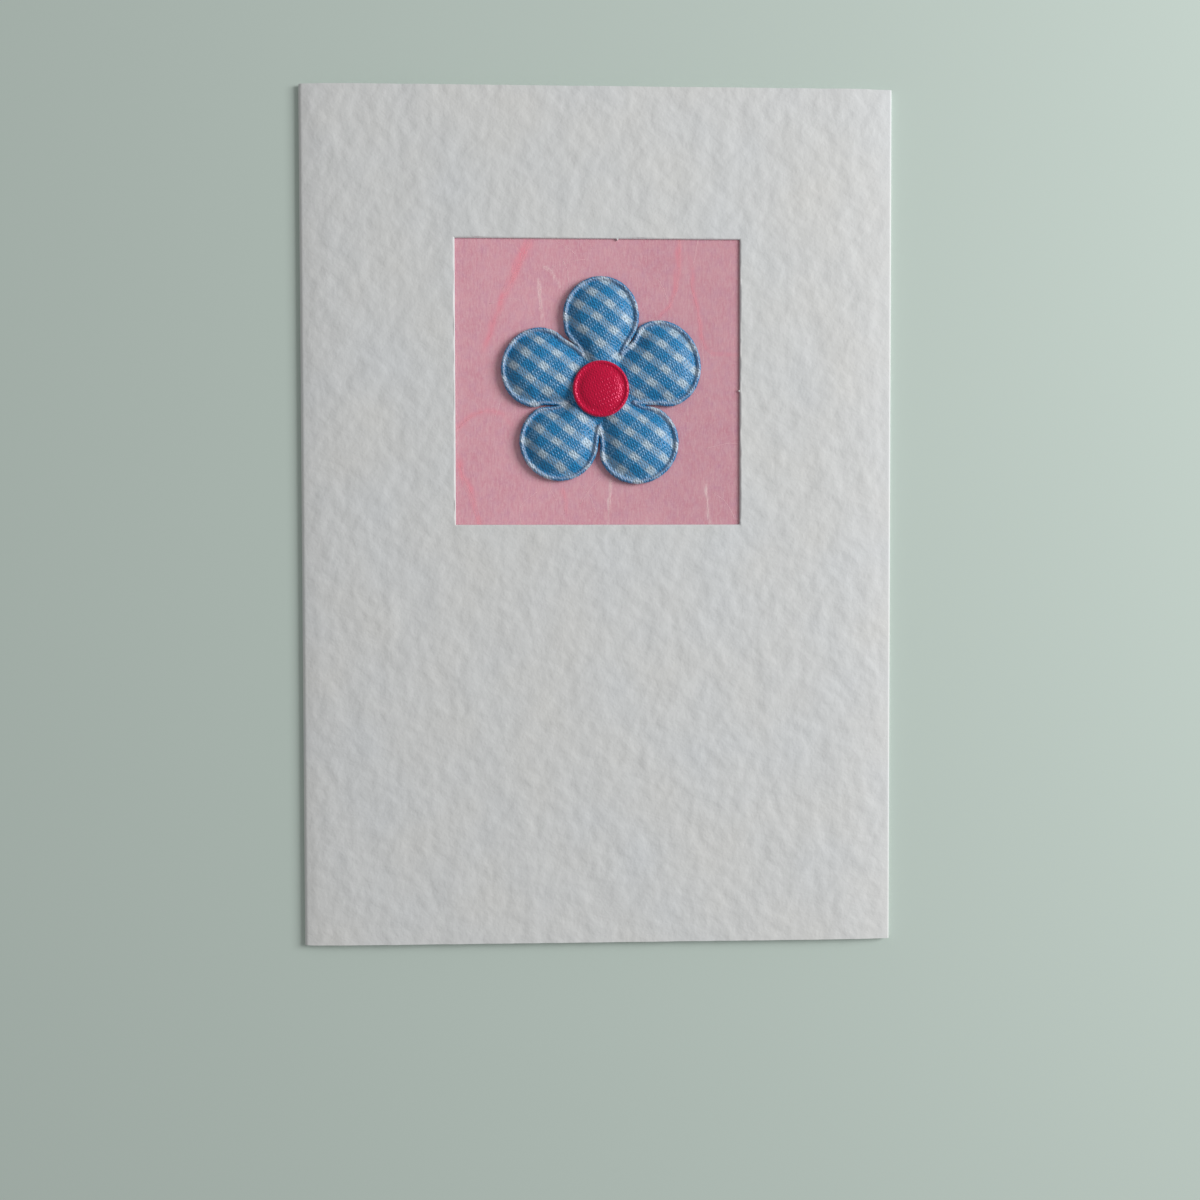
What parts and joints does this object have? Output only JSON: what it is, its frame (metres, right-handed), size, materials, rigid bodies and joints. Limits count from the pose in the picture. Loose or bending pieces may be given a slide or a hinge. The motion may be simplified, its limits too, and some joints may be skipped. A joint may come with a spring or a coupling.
{
  "type": "greeting card",
  "caption": "Closed portrait greeting card of folded white hammered card, with pink paper and a padded gingham flower in its square window.",
  "frame": {"origin": "centre of the back leaf's underside, on the surface the card lies on", "axes": "+X across the card from the spine to the fore edge, +Y up the card towards its top edge, +Z out of the front"},
  "size_m": [0.105, 0.152, 0.004],
  "materials": {
    "hammered_card": "matt white, hammered",
    "mulberry_paper": "matt pink with long fibres",
    "gingham_satin": "satin weave, blue and white check",
    "cerise_satin": "satin weave",
    "clear_adhesive": "clear, tacky",
    "paper_tape": "matt"
  },
  "bodies": {
    "root": {"card_blank": "hammered_card", "backing_paper": "mulberry_paper", "gingham_flower": "gingham_satin", "flower_centre": "cerise_satin", "glue_dot": "clear_adhesive", "tape_top": "paper_tape", "tape_bottom": "paper_tape", "tape_left": "paper_tape", "tape_right": "paper_tape"}
  },
  "joints": []
}
